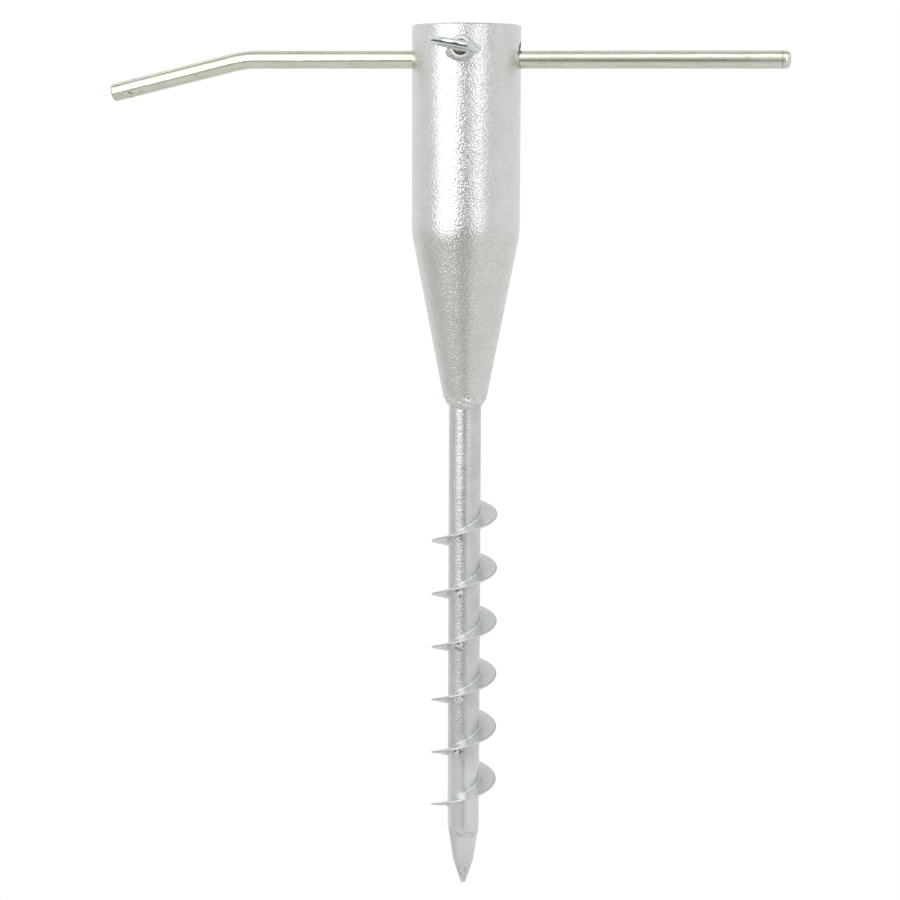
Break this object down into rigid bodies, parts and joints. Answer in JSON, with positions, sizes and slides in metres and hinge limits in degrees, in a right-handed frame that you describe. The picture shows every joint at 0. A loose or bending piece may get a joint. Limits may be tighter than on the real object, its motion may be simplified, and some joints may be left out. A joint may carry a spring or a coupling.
{
  "type": "screw earth anchor",
  "caption": "Screw-in ground socket: swaged tube on a shank with a helical flight and forged point, loose turning bar through it and an eye screw to clamp a pole.",
  "frame": {"origin": "centre of the socket's mouth, on the tube's axis in the plane of its rim", "axes": "+Z along the socket's axis, up and out of the mouth; X along the turning bar, bent end at -X; the clamp screw stands out towards -Y"},
  "size_m": [0.3033, 0.0839, 0.392],
  "materials": {
    "galvanised_tube": "hot-dip galvanised, bright, with fine spangle",
    "galvanised_shank": "hot-dip galvanised, satin",
    "galvanised_weld": "weld bead under hot-dip zinc",
    "galvanised_flight": "hot-dip galvanised, dull",
    "galvanised_boss": "hot-dip galvanised, matt",
    "bright_zinc": "blue-white electroplated zinc",
    "passivated_zinc": "zinc plate with a faint yellow-green passivation"
  },
  "bodies": {
    "anchor": {"socket_tube": "galvanised_tube", "shank": "galvanised_shank", "neck_weld": "galvanised_weld", "flight": "galvanised_flight", "clamp_boss": "galvanised_boss", "boss_weld": "galvanised_weld"},
    "clamp_screw": {"clamp_screw": "bright_zinc"},
    "turning_bar": {"turning_bar": "passivated_zinc"}
  },
  "joints": [
    {"name": "bar_slide", "type": "slide", "parent": "anchor", "child": "turning_bar", "axis": [1, 0, 0], "range_m": [-0.168, 0.064]},
    {"name": "screw_travel", "type": "slide", "parent": "anchor", "child": "clamp_screw", "axis": [0, -1, 0], "range_m": [-0.0095, 0.004]}
  ]
}
